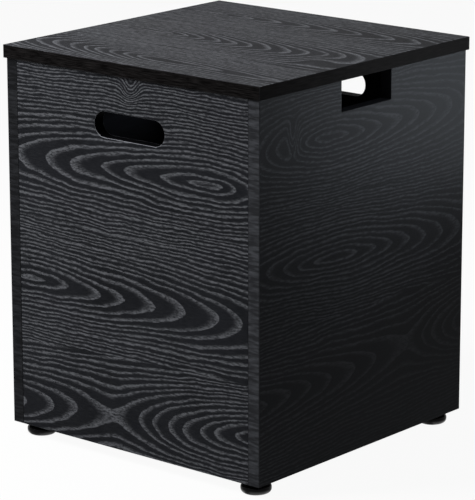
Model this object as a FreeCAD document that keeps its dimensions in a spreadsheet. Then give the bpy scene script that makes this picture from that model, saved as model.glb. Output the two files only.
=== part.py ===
import FreeCAD, Part
import math
import operator
import os
import Sketcher
from types import SimpleNamespace

# Propane tank cover table: an open-bottomed square box of grained boards that
# stands over a gas cylinder, with a loose lid, two carrying slots, a notch for
# the hose and four levelling feet.
#
# Frame: millimetres, +Z up, origin on the floor under the middle of the table.
# The front (-Y) and the back (+Y) are the panels with the carrying slots; the
# right side (+X) has the hose notch.

Vector = FreeCAD.Vector
Rotation = FreeCAD.Rotation
Placement = FreeCAD.Placement
UP = Vector(0, 0, 1)

# Driving dimensions: name, value in millimetres, meaning.
DIMENSIONS = [
    ("lid_width", 400.0, "lid, left to right"),
    ("lid_depth", 400.0, "lid, front to back"),
    ("lid_thickness", 16.0, "lid board and its edge bands"),
    ("lid_overhang", 3.0, "lid beyond the walls, all round"),
    ("wall_height", 458.0, "height of the four walls"),
    ("wall_thickness", 16.0, "board of the four walls"),
    ("floor_gap", 16.0, "walls' lower edge above the floor"),
    ("joint_gap", 0.2, "handle panel's end to side panel"),
    ("band_thickness", 1.0, "glued edge band"),
    ("slot_length", 110.0, "carrying slot, end to end"),
    ("slot_height", 31.5, "carrying slot, across"),
    ("slot_drop", 60.5, "slot's centre below the walls' top"),
    ("notch_width", 95.0, "hose notch, across"),
    ("notch_depth", 38.0, "hose notch, down from the walls' top"),
    ("notch_corner", 1.5, "hose notch, inner corner radius"),
    ("cam_diameter", 15.0, "recess for the cam lock"),
    ("cam_recess", 12.5, "depth of the cam recess"),
    ("cam_clearance", 0.15, "cam lock in its recess, all round"),
    ("cam_setback", 24.0, "cam's centre from the panel's end"),
    ("cam_height", 12.0, "height of the cam lock"),
    ("cam_shank_slot", 5.6, "cam's slot for the bolt's shank"),
    ("cam_head_slot", 7.8, "cam's slot for the bolt's head, across"),
    ("cam_head_play", 0.4, "bolt's head in the cam's slot, each end"),
    ("cam_slot_play", 0.4, "bolt above and below in the cam's slot"),
    ("cam_driver_slot", 1.6, "cam's cross recess, width"),
    ("cam_driver_depth", 1.8, "cam's cross recess, depth"),
    ("cam_driver_length", 9.0, "cam's cross recess, end to end"),
    ("bolt_hole", 8.0, "hole for the cam bolt in the panel's end"),
    ("bolt_pilot", 5.0, "hole for the cam bolt's thread"),
    ("bolt_thread_length", 11.0, "cam bolt's thread in the side panel"),
    ("bolt_head", 7.0, "cam bolt's head"),
    ("bolt_head_length", 3.0, "cam bolt's head, along"),
    ("dowel_diameter", 8.0, "wooden dowel"),
    ("dowel_length", 30.0, "wooden dowel"),
    ("dowel_in_side", 10.0, "depth of the dowel in the side panel"),
    ("dowel_clearance", 0.1, "dowel in its hole, all round"),
    ("hole_end_gap", 1.0, "spare depth past the end of a dowel or bolt"),
    ("dowel_spacing", 150.0, "dowel from its cam, along the joint"),
    ("cleat_length", 300.0, "locating cleat under the lid"),
    ("cleat_width", 18.0, "locating cleat, front to back"),
    ("cleat_height", 14.0, "locating cleat, downwards"),
    ("cleat_clearance", 1.5, "cleat from the wall that it locates on"),
    ("cleat_chamfer", 3.0, "cleat's lead-in along its lower edge"),
    ("plate_size", 60.0, "corner plate's side"),
    ("plate_thickness", 2.0, "corner plate"),
    ("plate_inset", 5.0, "corner plate from the walls' faces"),
    ("plate_corner", 9.0, "corner plate's outer corner radius"),
    ("plate_cut", 22.0, "corner plate's inner corner, cut off"),
    ("foot_inset", 24.5, "foot's axis from the walls' faces"),
    ("nut_across_flats", 13.0, "nut welded on the corner plate"),
    ("nut_height", 6.5, "nut welded on the corner plate"),
    ("stem_diameter", 8.0, "foot's threaded stem"),
    ("thread_clearance", 0.08, "stem in the nut, all round"),
    ("stem_length", 44.0, "foot's stem"),
    ("swivel_clearance", 0.3, "stem in the pad's socket, all round"),
    ("pad_diameter", 37.0, "foot pad"),
    ("pad_height", 11.0, "foot pad"),
    ("pad_bevel", 0.85, "bevel round the foot pad's upper rim"),
    ("pad_floor", 3.0, "foot pad's floor under the stem"),
]

doc = FreeCAD.newDocument("tank_cover_table")
sheet = doc.addObject("Spreadsheet::Sheet", "Sizes")


class Size:
    """A length that knows its expression in the sheet and its present number."""

    def __init__(self, text, number):
        self.text = text
        self.number = number

    def __add__(self, other):
        return combine(self, "+", other)

    def __sub__(self, other):
        return combine(self, "-", other)

    def __rsub__(self, other):
        return combine(other, "-", self)

    def __mul__(self, other):
        return combine(self, "*", other)

    def __rmul__(self, other):
        return combine(other, "*", self)

    def __truediv__(self, other):
        return combine(self, "/", other)

    def __neg__(self):
        return combine(0, "-", self)


ARITHMETIC = {"+": operator.add, "-": operator.sub, "*": operator.mul, "/": operator.truediv}


def as_size(amount):
    return amount if isinstance(amount, Size) else Size(str(amount), amount)


def combine(first, sign, second):
    """The sum, difference, product or quotient of two sizes or plain numbers."""
    first = as_size(first)
    second = as_size(second)
    return Size(f"({first.text} {sign} {second.text})",
                ARITHMETIC[sign](first.number, second.number))


size = SimpleNamespace()
for row, (alias, number, meaning) in enumerate(DIMENSIONS, start=1):
    sheet.set(f"A{row}", alias)
    sheet.set(f"B{row}", str(number))
    sheet.setAlias(f"B{row}", alias)
    sheet.set(f"C{row}", meaning)
    setattr(size, alias, Size(f"Sizes.{alias}", number))
doc.recompute()

# Sizes worked out from the driving ones.
body_width = size.lid_width - 2 * size.lid_overhang
body_depth = size.lid_depth - 2 * size.lid_overhang
half_width = body_width / 2
half_depth = body_depth / 2
wall_top = size.floor_gap + size.wall_height
inner_half_width = half_width - size.wall_thickness
inner_half_depth = half_depth - size.wall_thickness
handle_panel_half = inner_half_width - size.joint_gap
side_panel_half = half_depth - size.band_thickness
board_middle = size.wall_thickness / 2
dowel_hole = size.dowel_diameter + 2 * size.dowel_clearance
plate_bottom = size.floor_gap - size.plate_thickness
cleat_middle = inner_half_depth - size.cleat_clearance - size.cleat_width / 2

# Each corner joint has a cam lock halfway up, and a dowel above and below it.
# The heights are from the walls' lower edge.
cam_level = size.wall_height / 2
dowel_levels = [cam_level - size.dowel_spacing, cam_level + size.dowel_spacing]


def quarter_turns(names, x, y):
    """The turn of each named place about the table, and the signs of its x and y."""
    places = {}
    for number, name in enumerate(names):
        turn = 90 * number
        toward = Rotation(UP, turn).multVec(Vector(x, y, 0))
        places[name] = (turn, round(toward.x), round(toward.y))
    return places


# The four walls and the four corners, from the front and the front left corner.
SIDES = quarter_turns(["front", "right", "back", "left"], 0, -1)
CORNERS = quarter_turns(["front_left", "front_right", "back_right", "back_left"], -1, -1)

sub_parts = []


# Helpers for bodies, sketches and features.

def new_body(label):
    body = doc.addObject("PartDesign::Body", label)
    body.Label = label
    return body


def keep(part):
    """Lists a finished sub-part for export."""
    sub_parts.append(part)
    return part


def place(part, x, y, z, rotation=Rotation()):
    """Turns a part and binds its place to the sheet."""
    part.Placement = Placement(Vector(0, 0, 0), rotation)
    part.setExpression("Placement.Base.x", as_size(x).text)
    part.setExpression("Placement.Base.y", as_size(y).text)
    part.setExpression("Placement.Base.z", as_size(z).text)


def place_on_side(part, side, z):
    """Puts a part drawn for the front against the outer face of one wall."""
    turn, x, y = SIDES[side]
    place(part, x * half_width, y * half_depth, z, Rotation(UP, turn))


def corner_spot(corner, inset, z):
    """Place and turn of a piece whose own origin stands inset from both faces at a corner."""
    turn, x, y = CORNERS[corner]
    return x * (half_width - inset), y * (half_depth - inset), z, Rotation(UP, turn)


def origin_feature(body, role):
    return next(item for item in body.Origin.OriginFeatures if item.Role == role)


def new_sketch(body, name, role, offset=0):
    """A sketch on one of the body's own origin planes, moved along that plane's normal."""
    sketch = body.newObject("Sketcher::SketchObject", name)
    sketch.AttachmentSupport = [(origin_feature(body, role), "")]
    sketch.MapMode = "FlatFace"
    sketch.setExpression("AttachmentOffset.Base.z", as_size(offset).text)
    return sketch


def bind(sketch, kind, *target, to):
    """Adds a dimension to a sketch and ties it to its expression."""
    to = as_size(to)
    index = sketch.addConstraint(Sketcher.Constraint(kind, *target, float(to.number)))
    sketch.setExpression(f"Constraints[{index}]", to.text)


def pin_point(sketch, geometry, point, x, y):
    """Holds one point of a sketch at x, y from the sketch's origin."""
    bind(sketch, "DistanceX", -1, 1, geometry, point, to=x)
    bind(sketch, "DistanceY", -1, 1, geometry, point, to=y)


def draw_polygon(sketch, corners):
    """A closed outline through corners, each an (x, y) pair of sizes."""
    corners = [(as_size(x), as_size(y)) for x, y in corners]
    points = [Vector(x.number, y.number, 0) for x, y in corners]
    count = len(points)
    lines = [sketch.addGeometry(Part.LineSegment(points[i], points[(i + 1) % count]))
             for i in range(count)]
    for i, line in enumerate(lines):
        sketch.addConstraint(Sketcher.Constraint("Coincident", line, 2, lines[(i + 1) % count], 1))
    for line, (x, y) in zip(lines, corners):
        pin_point(sketch, line, 1, x, y)


def draw_rectangle(sketch, left, bottom, right, top):
    draw_polygon(sketch, [(left, bottom), (right, bottom), (right, top), (left, top)])


def draw_cross(sketch, arm, half):
    """A driver cross: arms of one reach and half width, about the sketch's origin."""
    draw_polygon(sketch, [(-arm, -half), (-half, -half), (-half, -arm), (half, -arm),
                          (half, -half), (arm, -half), (arm, half), (half, half),
                          (half, arm), (-half, arm), (-half, half), (-arm, half)])


def draw_circle(sketch, x, y, diameter):
    start = Vector(as_size(x).number, as_size(y).number, 0)
    circle = sketch.addGeometry(Part.Circle(start, UP, as_size(diameter).number / 2))
    pin_point(sketch, circle, 3, x, y)
    bind(sketch, "Diameter", circle, to=diameter)


def draw_stadium(sketch, y, length, height):
    """A slot with round ends, centred across the sketch at a height y."""
    half_run = (length - height) / 2
    middle, reach, radius = y.number, half_run.number, height.number / 2
    quarter = math.pi / 2
    right = sketch.addGeometry(Part.ArcOfCircle(
        Part.Circle(Vector(reach, middle, 0), UP, radius), -quarter, quarter))
    left = sketch.addGeometry(Part.ArcOfCircle(
        Part.Circle(Vector(-reach, middle, 0), UP, radius), quarter, 3 * quarter))
    top = sketch.addGeometry(Part.LineSegment(Vector(reach, middle + radius, 0),
                                              Vector(-reach, middle + radius, 0)))
    bottom = sketch.addGeometry(Part.LineSegment(Vector(-reach, middle - radius, 0),
                                                 Vector(reach, middle - radius, 0)))
    for first, second in ((right, top), (top, left), (left, bottom), (bottom, right)):
        sketch.addConstraint(Sketcher.Constraint("Tangent", first, 2, second, 1))
    bind(sketch, "Diameter", right, to=height)
    pin_point(sketch, right, 3, half_run, y)
    bind(sketch, "DistanceX", -1, 1, left, 3, to=-half_run)


def pad(body, sketch, length, reverse=False):
    feature = body.newObject("PartDesign::Pad", sketch.Name + "_pad")
    feature.Profile = sketch
    feature.Reversed = reverse
    feature.setExpression("Length", as_size(length).text)
    body.Tip = feature
    return feature


def pocket(body, sketch, depth, reverse=False):
    """Cuts a sketch to a depth and makes sure that it really took material away."""
    doc.recompute()
    before = body.Shape.Volume
    feature = body.newObject("PartDesign::Pocket", sketch.Name + "_pocket")
    feature.Profile = sketch
    feature.Reversed = reverse
    feature.setExpression("Length", as_size(depth).text)
    body.Tip = feature
    doc.recompute()
    if not body.Shape.Volume < before:
        raise RuntimeError(f"{body.Label}: {sketch.Name} cuts nothing")
    return feature


def mirror(body, features, role):
    feature = body.newObject("PartDesign::Mirrored", body.Name + "_mirror")
    feature.Originals = features
    feature.MirrorPlane = (origin_feature(body, role), [""])
    body.Tip = feature
    return feature


def revolve(body, sketch, axis):
    feature = body.newObject("PartDesign::Revolution", sketch.Name + "_revolution")
    feature.Profile = sketch
    feature.ReferenceAxis = (sketch, [axis])
    feature.Angle = 360.0
    body.Tip = feature
    return feature


def near(number, wanted):
    return abs(number - as_size(wanted).number) < 0.01


def dress_edges(body, kind, wanted, amount):
    """Fillet or chamfer on those edges of the body so far that pass a test."""
    doc.recompute()
    names = [f"Edge{number}" for number, edge in enumerate(body.Shape.Edges, start=1)
             if wanted(edge)]
    if not names:
        raise RuntimeError(f"{body.Label}: no edges to dress")
    base = body.Tip
    feature = body.newObject("PartDesign::" + kind, body.Name + "_" + kind.lower())
    feature.Base = (base, names)
    feature.setExpression("Radius" if kind == "Fillet" else "Size", as_size(amount).text)
    body.Tip = feature
    return feature


def group(label, master, spots):
    """One node of identical pieces: the master at the first spot and links at the rest.

    A spot is (x, y, z, rotation).
    """
    members = [master]
    for number in range(2, len(spots) + 1):
        link = doc.addObject("App::Link", f"{label}_{number}")
        link.LinkedObject = master
        link.LinkTransform = False
        members.append(link)
    for member, spot in zip(members, spots):
        place(member, *spot)
    compound = doc.addObject("Part::Compound", label)
    compound.Label = label
    compound.Links = members
    return keep(compound)


# The four walls. Each is drawn with its outer face on the XZ plane, its
# thickness towards +Y, and its lower edge on the XY plane.

def handle_panel(side):
    """Front or back wall: it stands between the side walls and has the carrying slot."""
    body = new_body(f"{side}_panel")
    outline = new_sketch(body, f"{side}_outline", "XZ_Plane")
    draw_rectangle(outline, -handle_panel_half, 0, handle_panel_half, size.wall_height)
    pad(body, outline, size.wall_thickness, reverse=True)

    slot = new_sketch(body, f"{side}_slot", "XZ_Plane")
    draw_stadium(slot, size.wall_height - size.slot_drop, size.slot_length, size.slot_height)
    pocket(body, slot, size.wall_thickness)

    cams = new_sketch(body, f"{side}_cam_recesses", "XZ_Plane", -size.wall_thickness)
    cam_reach = handle_panel_half - size.cam_setback
    draw_circle(cams, -cam_reach, cam_level, size.cam_diameter)
    draw_circle(cams, cam_reach, cam_level, size.cam_diameter)
    pocket(body, cams, size.cam_recess, reverse=True)

    bolts = new_sketch(body, f"{side}_bolt_holes", "YZ_Plane", handle_panel_half)
    draw_circle(bolts, board_middle, cam_level, size.bolt_hole)
    bolt_cut = pocket(body, bolts, size.cam_setback)

    dowels = new_sketch(body, f"{side}_dowel_holes", "YZ_Plane", handle_panel_half)
    for level in dowel_levels:
        draw_circle(dowels, board_middle, level, dowel_hole)
    dowel_cut = pocket(body, dowels,
                       size.dowel_length - size.dowel_in_side + size.hole_end_gap)

    mirror(body, [bolt_cut, dowel_cut], "YZ_Plane")
    place_on_side(body, side, size.floor_gap)
    return keep(body)


def side_panel(side, notched):
    """Left or right wall, full depth; the right one is notched under the lid for the hose."""
    body = new_body(f"{side}_panel")
    outline = new_sketch(body, f"{side}_outline", "XZ_Plane")
    corners = [(-side_panel_half, 0), (side_panel_half, 0), (side_panel_half, size.wall_height)]
    notch_half = size.notch_width / 2
    notch_floor = size.wall_height - size.notch_depth
    if notched:
        corners += [(notch_half, size.wall_height), (notch_half, notch_floor),
                    (-notch_half, notch_floor), (-notch_half, size.wall_height)]
    corners.append((-side_panel_half, size.wall_height))
    draw_polygon(outline, corners)
    pad(body, outline, size.wall_thickness, reverse=True)
    if notched:
        dress_edges(body, "Fillet",
                    lambda edge: near(edge.BoundBox.ZMin, notch_floor)
                    and near(edge.BoundBox.ZMax, notch_floor)
                    and near(edge.BoundBox.YLength, size.wall_thickness),
                    size.notch_corner)

    # The cam bolts' pilot holes and the dowel holes run in from the inner face,
    # in line with the middle of the handle panels' ends.
    joint_line = half_depth - board_middle
    pilots = new_sketch(body, f"{side}_bolt_pilots", "XZ_Plane", -size.wall_thickness)
    draw_circle(pilots, joint_line, cam_level, size.bolt_pilot)
    pilot_cut = pocket(body, pilots, size.bolt_thread_length + size.hole_end_gap, reverse=True)

    dowels = new_sketch(body, f"{side}_dowel_holes", "XZ_Plane", -size.wall_thickness)
    for level in dowel_levels:
        draw_circle(dowels, joint_line, level, dowel_hole)
    dowel_cut = pocket(body, dowels, size.dowel_in_side + size.hole_end_gap, reverse=True)

    mirror(body, [pilot_cut, dowel_cut], "YZ_Plane")
    place_on_side(body, side, size.floor_gap)
    return keep(body)


def strip(label, width, height, x, y, z, turn=0):
    """A glued edge band, centred on its width, with its outer face towards -Y before the turn."""
    body = new_body(label)
    outline = new_sketch(body, f"{label}_outline", "XY_Plane")
    draw_rectangle(outline, -width / 2, 0, width / 2, size.band_thickness)
    pad(body, outline, height)
    place(body, x, y, z, Rotation(UP, turn))
    return keep(body)


def side_panel_bands(side):
    """The bands that close a side panel's front and back edges."""
    middle = SIDES[side][1] * (half_width - board_middle)
    for end in ("front", "back"):
        turn, _, toward_y = SIDES[end]
        strip(f"{side}_panel_{end}_band", size.wall_thickness, size.wall_height,
              middle, toward_y * half_depth, size.floor_gap, turn)


# The lid: a board with four edge bands, and two cleats that drop inside the
# front and back walls so that the lid can't slide off.

def lid_board():
    body = new_body("lid_board")
    outline = new_sketch(body, "lid_outline", "XY_Plane")
    board_half_width = size.lid_width / 2 - size.band_thickness
    board_half_depth = size.lid_depth / 2 - size.band_thickness
    draw_rectangle(outline, -board_half_width, -board_half_depth,
                   board_half_width, board_half_depth)
    pad(body, outline, size.lid_thickness)
    place(body, 0, 0, wall_top)
    return keep(body)


def lid_bands():
    """Front and back bands run the full width and cover the ends of the side bands."""
    for side, (turn, toward_x, toward_y) in SIDES.items():
        length = size.lid_width if toward_y else size.lid_depth - 2 * size.band_thickness
        strip(f"lid_{side}_band", length, size.lid_thickness,
              toward_x * size.lid_width / 2, toward_y * size.lid_depth / 2, wall_top, turn)


def lid_cleat(side):
    """A batten glued under the lid, its outer lower edge bevelled to lead into the box."""
    body = new_body(f"lid_{side}_cleat")
    profile = new_sketch(body, f"{side}_cleat_profile", "YZ_Plane", -size.cleat_length / 2)
    half = size.cleat_width / 2
    draw_polygon(profile, [(size.cleat_chamfer - half, -size.cleat_height),
                           (half, -size.cleat_height), (half, 0), (-half, 0),
                           (-half, size.cleat_chamfer - size.cleat_height)])
    pad(body, profile, size.cleat_length)
    turn, _, toward_y = SIDES[side]
    place(body, 0, toward_y * cleat_middle, wall_top, Rotation(UP, turn))
    return keep(body)


# The fittings hidden in the corner joints.

def cam_lock():
    """Cam drawn with its driver face on the XY plane, its body below, its slot towards +X."""
    body = new_body("cam_lock")
    outline = new_sketch(body, "cam_outline", "XY_Plane")
    draw_circle(outline, 0, 0, size.cam_diameter - 2 * size.cam_clearance)
    pad(body, outline, size.cam_height, reverse=True)

    # The claws: a wide slot for the bolt's head in the middle and a narrower one
    # for its shank out to the rim, both open at the cam's lower end.
    bolt_line = size.cam_height - board_middle
    head_half = size.bolt_head_length / 2 + size.cam_head_play
    head = new_sketch(body, "cam_head_slot", "XY_Plane", -size.cam_height)
    draw_rectangle(head, -head_half, -size.cam_head_slot / 2, head_half, size.cam_head_slot / 2)
    pocket(body, head, bolt_line + size.bolt_head / 2 + size.cam_slot_play, reverse=True)
    shank = new_sketch(body, "cam_shank_slot", "XY_Plane", -size.cam_height)
    draw_rectangle(shank, 0, -size.cam_shank_slot / 2, size.cam_diameter, size.cam_shank_slot / 2)
    pocket(body, shank, bolt_line + size.bolt_pilot / 2 + size.cam_slot_play, reverse=True)

    driver = new_sketch(body, "cam_driver_recess", "XY_Plane")
    draw_cross(driver, size.cam_driver_length / 2, size.cam_driver_slot / 2)
    pocket(body, driver, size.cam_driver_depth)
    return body


def cam_bolt():
    """Bolt drawn along +X from the side panel's inner face at x = 0."""
    body = new_body("cam_bolt")
    profile = new_sketch(body, "cam_bolt_profile", "XZ_Plane")
    shank = size.bolt_pilot / 2 - size.thread_clearance
    head_middle = size.cam_setback + size.joint_gap
    head_start = head_middle - size.bolt_head_length / 2
    head_end = head_middle + size.bolt_head_length / 2
    draw_polygon(profile, [(-size.bolt_thread_length, 0), (head_end, 0),
                           (head_end, size.bolt_head / 2), (head_start, size.bolt_head / 2),
                           (head_start, shank), (-size.bolt_thread_length, shank)])
    revolve(body, profile, "H_Axis")
    return body


def dowel():
    """Dowel drawn along +X across the joint, with the side panel's inner face at x = 0."""
    body = new_body("dowel")
    section = new_sketch(body, "dowel_section", "YZ_Plane", -size.dowel_in_side)
    draw_circle(section, 0, 0, size.dowel_diameter)
    pad(body, section, size.dowel_length)
    return body


def joint_spots(levels):
    """Both ends of both handle panels at each level, for pieces that run along the panel."""
    spots = []
    for toward_y in (-1, 1):
        for toward_x in (-1, 1):
            along_panel = Rotation(Vector(1, 0, 0), Vector(-toward_x, 0, 0))
            for level in levels:
                spots.append((toward_x * inner_half_width, toward_y * (half_depth - board_middle),
                              size.floor_gap + level, along_panel))
    return spots


def cam_spots():
    """The cams' recesses: driver face inwards, slot towards the nearer side panel."""
    spots = []
    for toward_y in (-1, 1):
        for toward_x in (-1, 1):
            inward = Vector(0, -toward_y, 0)
            slot_way = Vector(toward_x, 0, 0)
            turned = Rotation(slot_way, inward.cross(slot_way), inward, "ZXY")
            spots.append((toward_x * (handle_panel_half - size.cam_setback),
                          toward_y * inner_half_depth, size.floor_gap + cam_level, turned))
    return spots


# Corner plates and levelling feet. Each is drawn for the front left corner,
# with the inside of the table towards +X and +Y.

def corner_plate(corner):
    """Plate under a corner, with the foot's nut welded on, that ties two walls together."""
    body = new_body(f"corner_plate_{corner}")
    outline = new_sketch(body, f"plate_outline_{corner}", "XY_Plane")
    start = size.plate_inset
    end = size.plate_inset + size.plate_size
    draw_polygon(outline, [(start, start), (end, start), (end, end - size.plate_cut),
                           (end - size.plate_cut, end), (start, end)])
    pad(body, outline, size.plate_thickness)
    dress_edges(body, "Fillet",
                lambda edge: near(edge.BoundBox.ZLength, size.plate_thickness)
                and near(edge.BoundBox.XMin, start) and near(edge.BoundBox.YMin, start),
                size.plate_corner)

    nut = new_sketch(body, f"nut_outline_{corner}", "XY_Plane", size.plate_thickness)
    corner_radius = size.nut_across_flats / math.sqrt(3)
    draw_polygon(nut, [(size.foot_inset + corner_radius * math.cos(math.radians(angle)),
                        size.foot_inset + corner_radius * math.sin(math.radians(angle)))
                       for angle in range(0, 360, 60)])
    pad(body, nut, size.nut_height)

    bore = new_sketch(body, f"nut_bore_{corner}", "XY_Plane")
    draw_circle(bore, size.foot_inset, size.foot_inset,
                size.stem_diameter + 2 * size.thread_clearance)
    pocket(body, bore, size.plate_thickness + size.nut_height, reverse=True)
    place(body, *corner_spot(corner, 0, plate_bottom))
    return keep(body)


def foot_pad(corner):
    """Moulded round pad with a bevelled upper rim, in whose socket the stem turns."""
    body = new_body(f"foot_pad_{corner}")
    profile = new_sketch(body, f"pad_profile_{corner}", "XZ_Plane")
    rim = size.pad_diameter / 2
    socket = size.stem_diameter / 2 + size.swivel_clearance
    draw_polygon(profile, [(0, 0), (rim, 0), (rim, size.pad_height - size.pad_bevel),
                           (rim - size.pad_bevel, size.pad_height),
                           (socket, size.pad_height), (socket, size.pad_floor),
                           (0, size.pad_floor)])
    revolve(body, profile, "V_Axis")
    place(body, *corner_spot(corner, size.foot_inset, 0))
    return keep(body)


def foot_stem(corner):
    """Threaded stem that stands on the floor of the pad's socket and runs up through the nut."""
    body = new_body(f"foot_stem_{corner}")
    section = new_sketch(body, f"stem_section_{corner}", "XY_Plane")
    draw_circle(section, 0, 0, size.stem_diameter)
    pad(body, section, size.stem_length)
    place(body, *corner_spot(corner, size.foot_inset, size.pad_floor))
    return keep(body)


def check_document():
    """Stops the build if any object failed or any sub-part isn't a sound solid."""
    for item in doc.Objects:
        if any(word in state for state in item.State for word in ("Invalid", "Error")):
            raise RuntimeError(f"{item.Label}: {item.State}")
    for part in sub_parts:
        if part.Shape.isNull() or not part.Shape.isValid() or not part.Shape.Solids:
            raise RuntimeError(f"{part.Label}: no sound solid")


def export_parts():
    os.makedirs("parts", exist_ok=True)
    for part in sub_parts:
        part.Shape.exportStep(f"parts/{part.Label}.step")


handle_panel("front")
handle_panel("back")
side_panel("left", notched=False)
side_panel("right", notched=True)
side_panel_bands("left")
side_panel_bands("right")
group("cam_locks", cam_lock(), cam_spots())
group("cam_bolts", cam_bolt(), joint_spots([cam_level]))
group("dowels", dowel(), joint_spots(dowel_levels))
lid_board()
lid_bands()
lid_cleat("front")
lid_cleat("back")
for corner_name in CORNERS:
    corner_plate(corner_name)
    foot_pad(corner_name)
    foot_stem(corner_name)

doc.recompute()
check_document()
export_parts()
print(f"{len(sub_parts)} sub-parts written")
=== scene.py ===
"""Propane tank cover table: looks and studio, laid out as a Blender add-on.

Everything is in metres in the CAD model's frame: +Z up, the origin on the floor
under the middle of the table, the front (-Y) with a carrying slot and the right
side (+X) with the hose notch.
"""

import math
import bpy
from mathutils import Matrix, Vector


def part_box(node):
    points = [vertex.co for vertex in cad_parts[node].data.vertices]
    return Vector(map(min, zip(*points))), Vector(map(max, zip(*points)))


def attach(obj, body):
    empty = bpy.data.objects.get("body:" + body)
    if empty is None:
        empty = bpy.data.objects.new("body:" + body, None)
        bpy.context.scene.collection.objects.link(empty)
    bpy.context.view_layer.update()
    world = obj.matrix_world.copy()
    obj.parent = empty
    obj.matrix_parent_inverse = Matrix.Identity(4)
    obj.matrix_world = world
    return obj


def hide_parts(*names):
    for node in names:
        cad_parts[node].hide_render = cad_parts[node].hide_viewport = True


bl_info = {
    "name": "Tank cover table",
    "version": (1, 0, 0),
    "blender": (4, 5, 0),
    "location": "3D View > Sidebar > Tank table",
    "description": "Builds the boards, fittings and feet of a gas tank cover table, and a studio",
    "category": "Add Mesh",
}

import bmesh
import bpy
from bpy.props import FloatProperty, FloatVectorProperty, PointerProperty
from mathutils import Matrix, Vector

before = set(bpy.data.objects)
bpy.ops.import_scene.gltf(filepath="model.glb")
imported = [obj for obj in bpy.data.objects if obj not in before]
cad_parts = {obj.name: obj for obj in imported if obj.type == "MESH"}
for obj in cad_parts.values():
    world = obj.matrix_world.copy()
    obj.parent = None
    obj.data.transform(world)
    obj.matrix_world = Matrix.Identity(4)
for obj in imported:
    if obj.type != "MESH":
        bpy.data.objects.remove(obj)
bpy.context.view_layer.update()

MM = 0.001
CORNERS = ("front_left", "front_right", "back_right", "back_left")
# Points nearer than the first count as one place, and nearer than the second they are merged.
SAME_PLACE = 0.01 * MM
MERGED = 0.001 * MM
# Cutters reach this far past what they cut.
SPILL = 10 * MM


# Sizes and colours

def length(name, description, default, low, high):
    """A length setting, given here in millimetres."""
    return FloatProperty(name=name, description=description, default=default * MM,
                         min=low * MM, max=high * MM, unit="LENGTH")


def power(name, description, default):
    """A light's setting, given in watts."""
    return FloatProperty(name=name, description=description, default=default, min=0,
                         unit="POWER")


def angle(name, description, degrees):
    """An angle setting, given here in degrees."""
    return FloatProperty(name=name, description=description, default=math.radians(degrees),
                         subtype="ANGLE")


def colour(name, description, default):
    """A colour setting."""
    return FloatVectorProperty(name=name, description=description, default=default,
                               min=0, max=1, size=3, subtype="COLOR")


class BoardSizes(bpy.types.PropertyGroup):
    arris: length("Arris", "Rounding of the boards' own edges", 0.35, 0.05, 2)
    band_arris: length("Band arris", "Rounding of the glued edge bands", 0.4, 0.05, 0.45)
    slot_rounding: length("Slot rounding", "Rounding of the carrying slots' rims", 1.0, 0.1, 4)
    notch_corner: length("Notch corner", "Rounding of the hose notch's lower corners",
                         1.5, 0.1, 5)
    joint_shadow: length("Joint shadow", "Rounding that shows as a dark joint at one side board",
                         1.0, 0.1, 2)
    cam_recess: length("Cam recess", "Depth of the recess for each cam lock", 12.5, 1, 15)
    cam_diameter: length("Cam recess diameter", "Diameter of the recess for each cam lock",
                         15, 5, 30)
    cleat_bevel: length("Cleat bevel", "Bevel of each lid cleat's outer lower edge", 3, 0.5, 6)


class FootSizes(bpy.types.PropertyGroup):
    lower_round: length("Lower rounding", "Rounding of the pad's lower rim", 5.0, 0.5, 6)
    upper_round: length("Upper rounding", "Rounding of the pad's upper rim", 4.4, 0.5, 5)
    dish_radius: length("Dish radius", "Radius of the shallow dish in the pad's top", 11.5, 6, 15)
    dish_depth: length("Dish depth", "Depth of the dish in the pad's top", 0.9, 0, 3)
    thread_pitch: length("Thread pitch", "Rise of the stem's thread in one turn", 1.25, 0.5, 3)
    thread_depth: length("Thread depth", "Depth of the stem's thread", 0.65, 0.1, 1)
    stem_plain: length("Plain end", "Stem's lower end, which has no thread", 9, 4, 12)


class FixingSizes(bpy.types.PropertyGroup):
    head: length("Head", "Diameter of a wood screw's countersunk head", 7, 3, 12)
    cross: length("Cross", "Reach of the driver cross from the screw's middle", 1.9, 0.5, 4)
    plate_near: length("Near plate screw", "Nearer plate screw from the walls' corner", 28, 15, 40)
    plate_far: length("Far plate screw", "Farther plate screw from the walls' corner", 56, 30, 80)
    plate_edge: length("Plate edge", "Rounding of the corner plates' edges", 0.5, 0.1, 0.9)
    plate_line: length("Plate screw line", "Plate screws from the walls' outer face", 10, 5, 14)
    cleat_spacing: length("Cleat screw spacing", "Outer cleat screws from the middle one",
                          120, 50, 140)


class Colours(bpy.types.PropertyGroup):
    board: colour("Board", "Ground of the black grained boards", (0.0036, 0.0038, 0.0046))
    grain: colour("Grain", "Pale lines of the grain", (0.0512, 0.0529, 0.0578))
    lid_band: colour("Lid band", "Edge bands of the lid", (0.0012, 0.0011, 0.0011))
    wall_band: colour("Wall band", "Edge bands of the side boards", (0.0085, 0.0089, 0.0100))
    batten: colour("Batten", "Stained battens under the lid", (0.010, 0.010, 0.011))
    powder: colour("Powder coat", "Corner plates and screws", (0.012, 0.012, 0.013))
    plastic: colour("Foot plastic", "Moulded foot pads", (0.0014, 0.0014, 0.0016))
    zinc: colour("Zinc", "Plated fittings", (0.56, 0.57, 0.59))
    beech: colour("Beech", "Dowels", (0.55, 0.40, 0.24))
    bare_batten: colour("Bare batten", "Battens where the stain is rubbed", (0.09, 0.075, 0.06))
    # Pale and used at nearly full strength on the corner plates' edges: partly rubbed steel,
    # partly a painted highlight.
    bare_steel_and_highlight: colour("Bare steel", "Plates where the coat is rubbed", (0.32, 0.32, 0.33))
    scuff: colour("Scuff", "Scuffed foot plastic", (0.035, 0.035, 0.037))
    dust: colour("Dust", "Fine dust that settles on what faces up", (0.30, 0.29, 0.27))
    floor: colour("Floor", "Studio floor", (0.42, 0.42, 0.42))


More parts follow.
